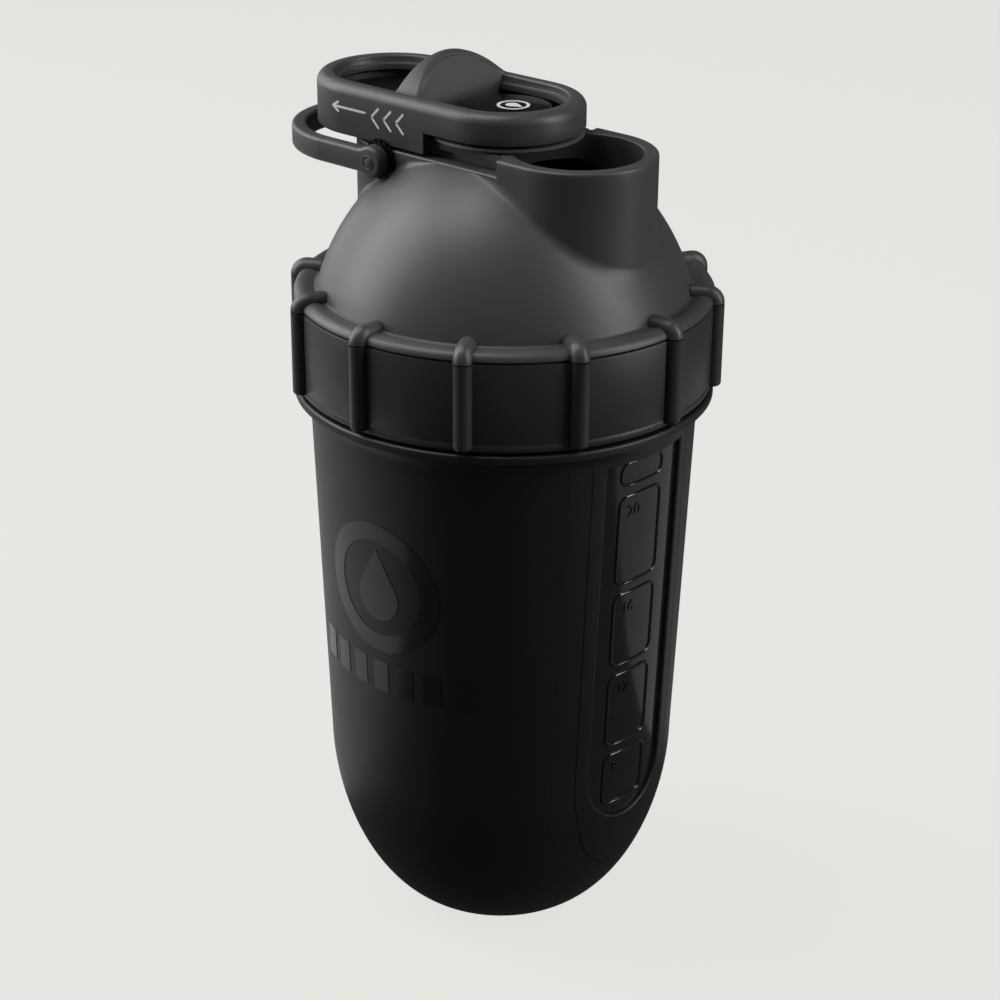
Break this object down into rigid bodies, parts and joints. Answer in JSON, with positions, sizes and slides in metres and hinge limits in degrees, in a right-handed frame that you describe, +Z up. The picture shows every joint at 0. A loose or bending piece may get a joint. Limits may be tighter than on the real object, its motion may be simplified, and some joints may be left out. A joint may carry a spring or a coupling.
{
  "type": "shaker bottle",
  "caption": "Capsule-shaped shaker bottle with a sleeve, a sight window, a ribbed screw lid, a sliding spout cover and a carry handle.",
  "frame": {"origin": "centre of the flat foot, on the surface that the bottle stands on", "axes": "+Z up along the bottle; +X towards the spout, the way the cover slides shut; -Y is the marked front; the handle is at -X"},
  "size_m": [0.1141, 0.1058, 0.2209],
  "materials": {
    "soft_black": "matte soft-touch coating",
    "smoke_clear": "clear smoke-tinted copolyester",
    "mark_gloss": "gloss black print",
    "lid_grey": "satin moulded polypropylene",
    "ring_grey": "satin moulded polypropylene",
    "tray_black": "black moulded polypropylene",
    "badge_black": "gloss black acrylic",
    "silicone": "moulded silicone",
    "print_grey": "light grey print"
  },
  "bodies": {
    "bottle": {"outer_sleeve": "soft_black", "inner_vessel": "smoke_clear", "sight_window": "smoke_clear", "level_fields": "smoke_clear", "front_emblem": "mark_gloss"},
    "gasket": {"lid_gasket": "silicone"},
    "lid": {"lid_dome": "lid_grey", "grip_ring": "ring_grey", "hinge_pin_front": "lid_grey", "hinge_pin_rear": "lid_grey", "handle_stop_front": "tray_black", "handle_stop_rear": "tray_black"},
    "slider": {"slider_frame": "lid_grey", "slide_floor": "tray_black", "plug_carrier": "tray_black", "plug_seal": "silicone", "plug_badge": "badge_black", "bead_strip": "lid_grey", "guide_clip_front": "tray_black", "guide_clip_rear": "tray_black", "slide_arrow": "print_grey"},
    "handle": {"carry_handle": "lid_grey"}
  },
  "joints": [
    {"name": "lid_rise", "type": "slide", "parent": "bottle", "child": "gasket", "axis": [0, 0, 1], "range_m": [0, 0.005]},
    {"name": "lid_turn", "type": "hinge", "parent": "gasket", "child": "lid", "pos_m": [0, 0, 0.1655], "axis": [0, 0, 1], "range_deg": [0, 360]},
    {"name": "spout_slide", "type": "slide", "parent": "lid", "child": "slider", "axis": [1, 0, 0], "range_m": [0, 0.0214]},
    {"name": "handle_swing", "type": "hinge", "parent": "lid", "child": "handle", "pos_m": [-0.0227, 0, 0.1978], "axis": [0, 1, 0], "range_deg": [0, 110]}
  ],
  "couplings": [
    {"joint": "lid_rise", "follows": "lid_turn", "m_per_rad": 0.00079577}
  ]
}
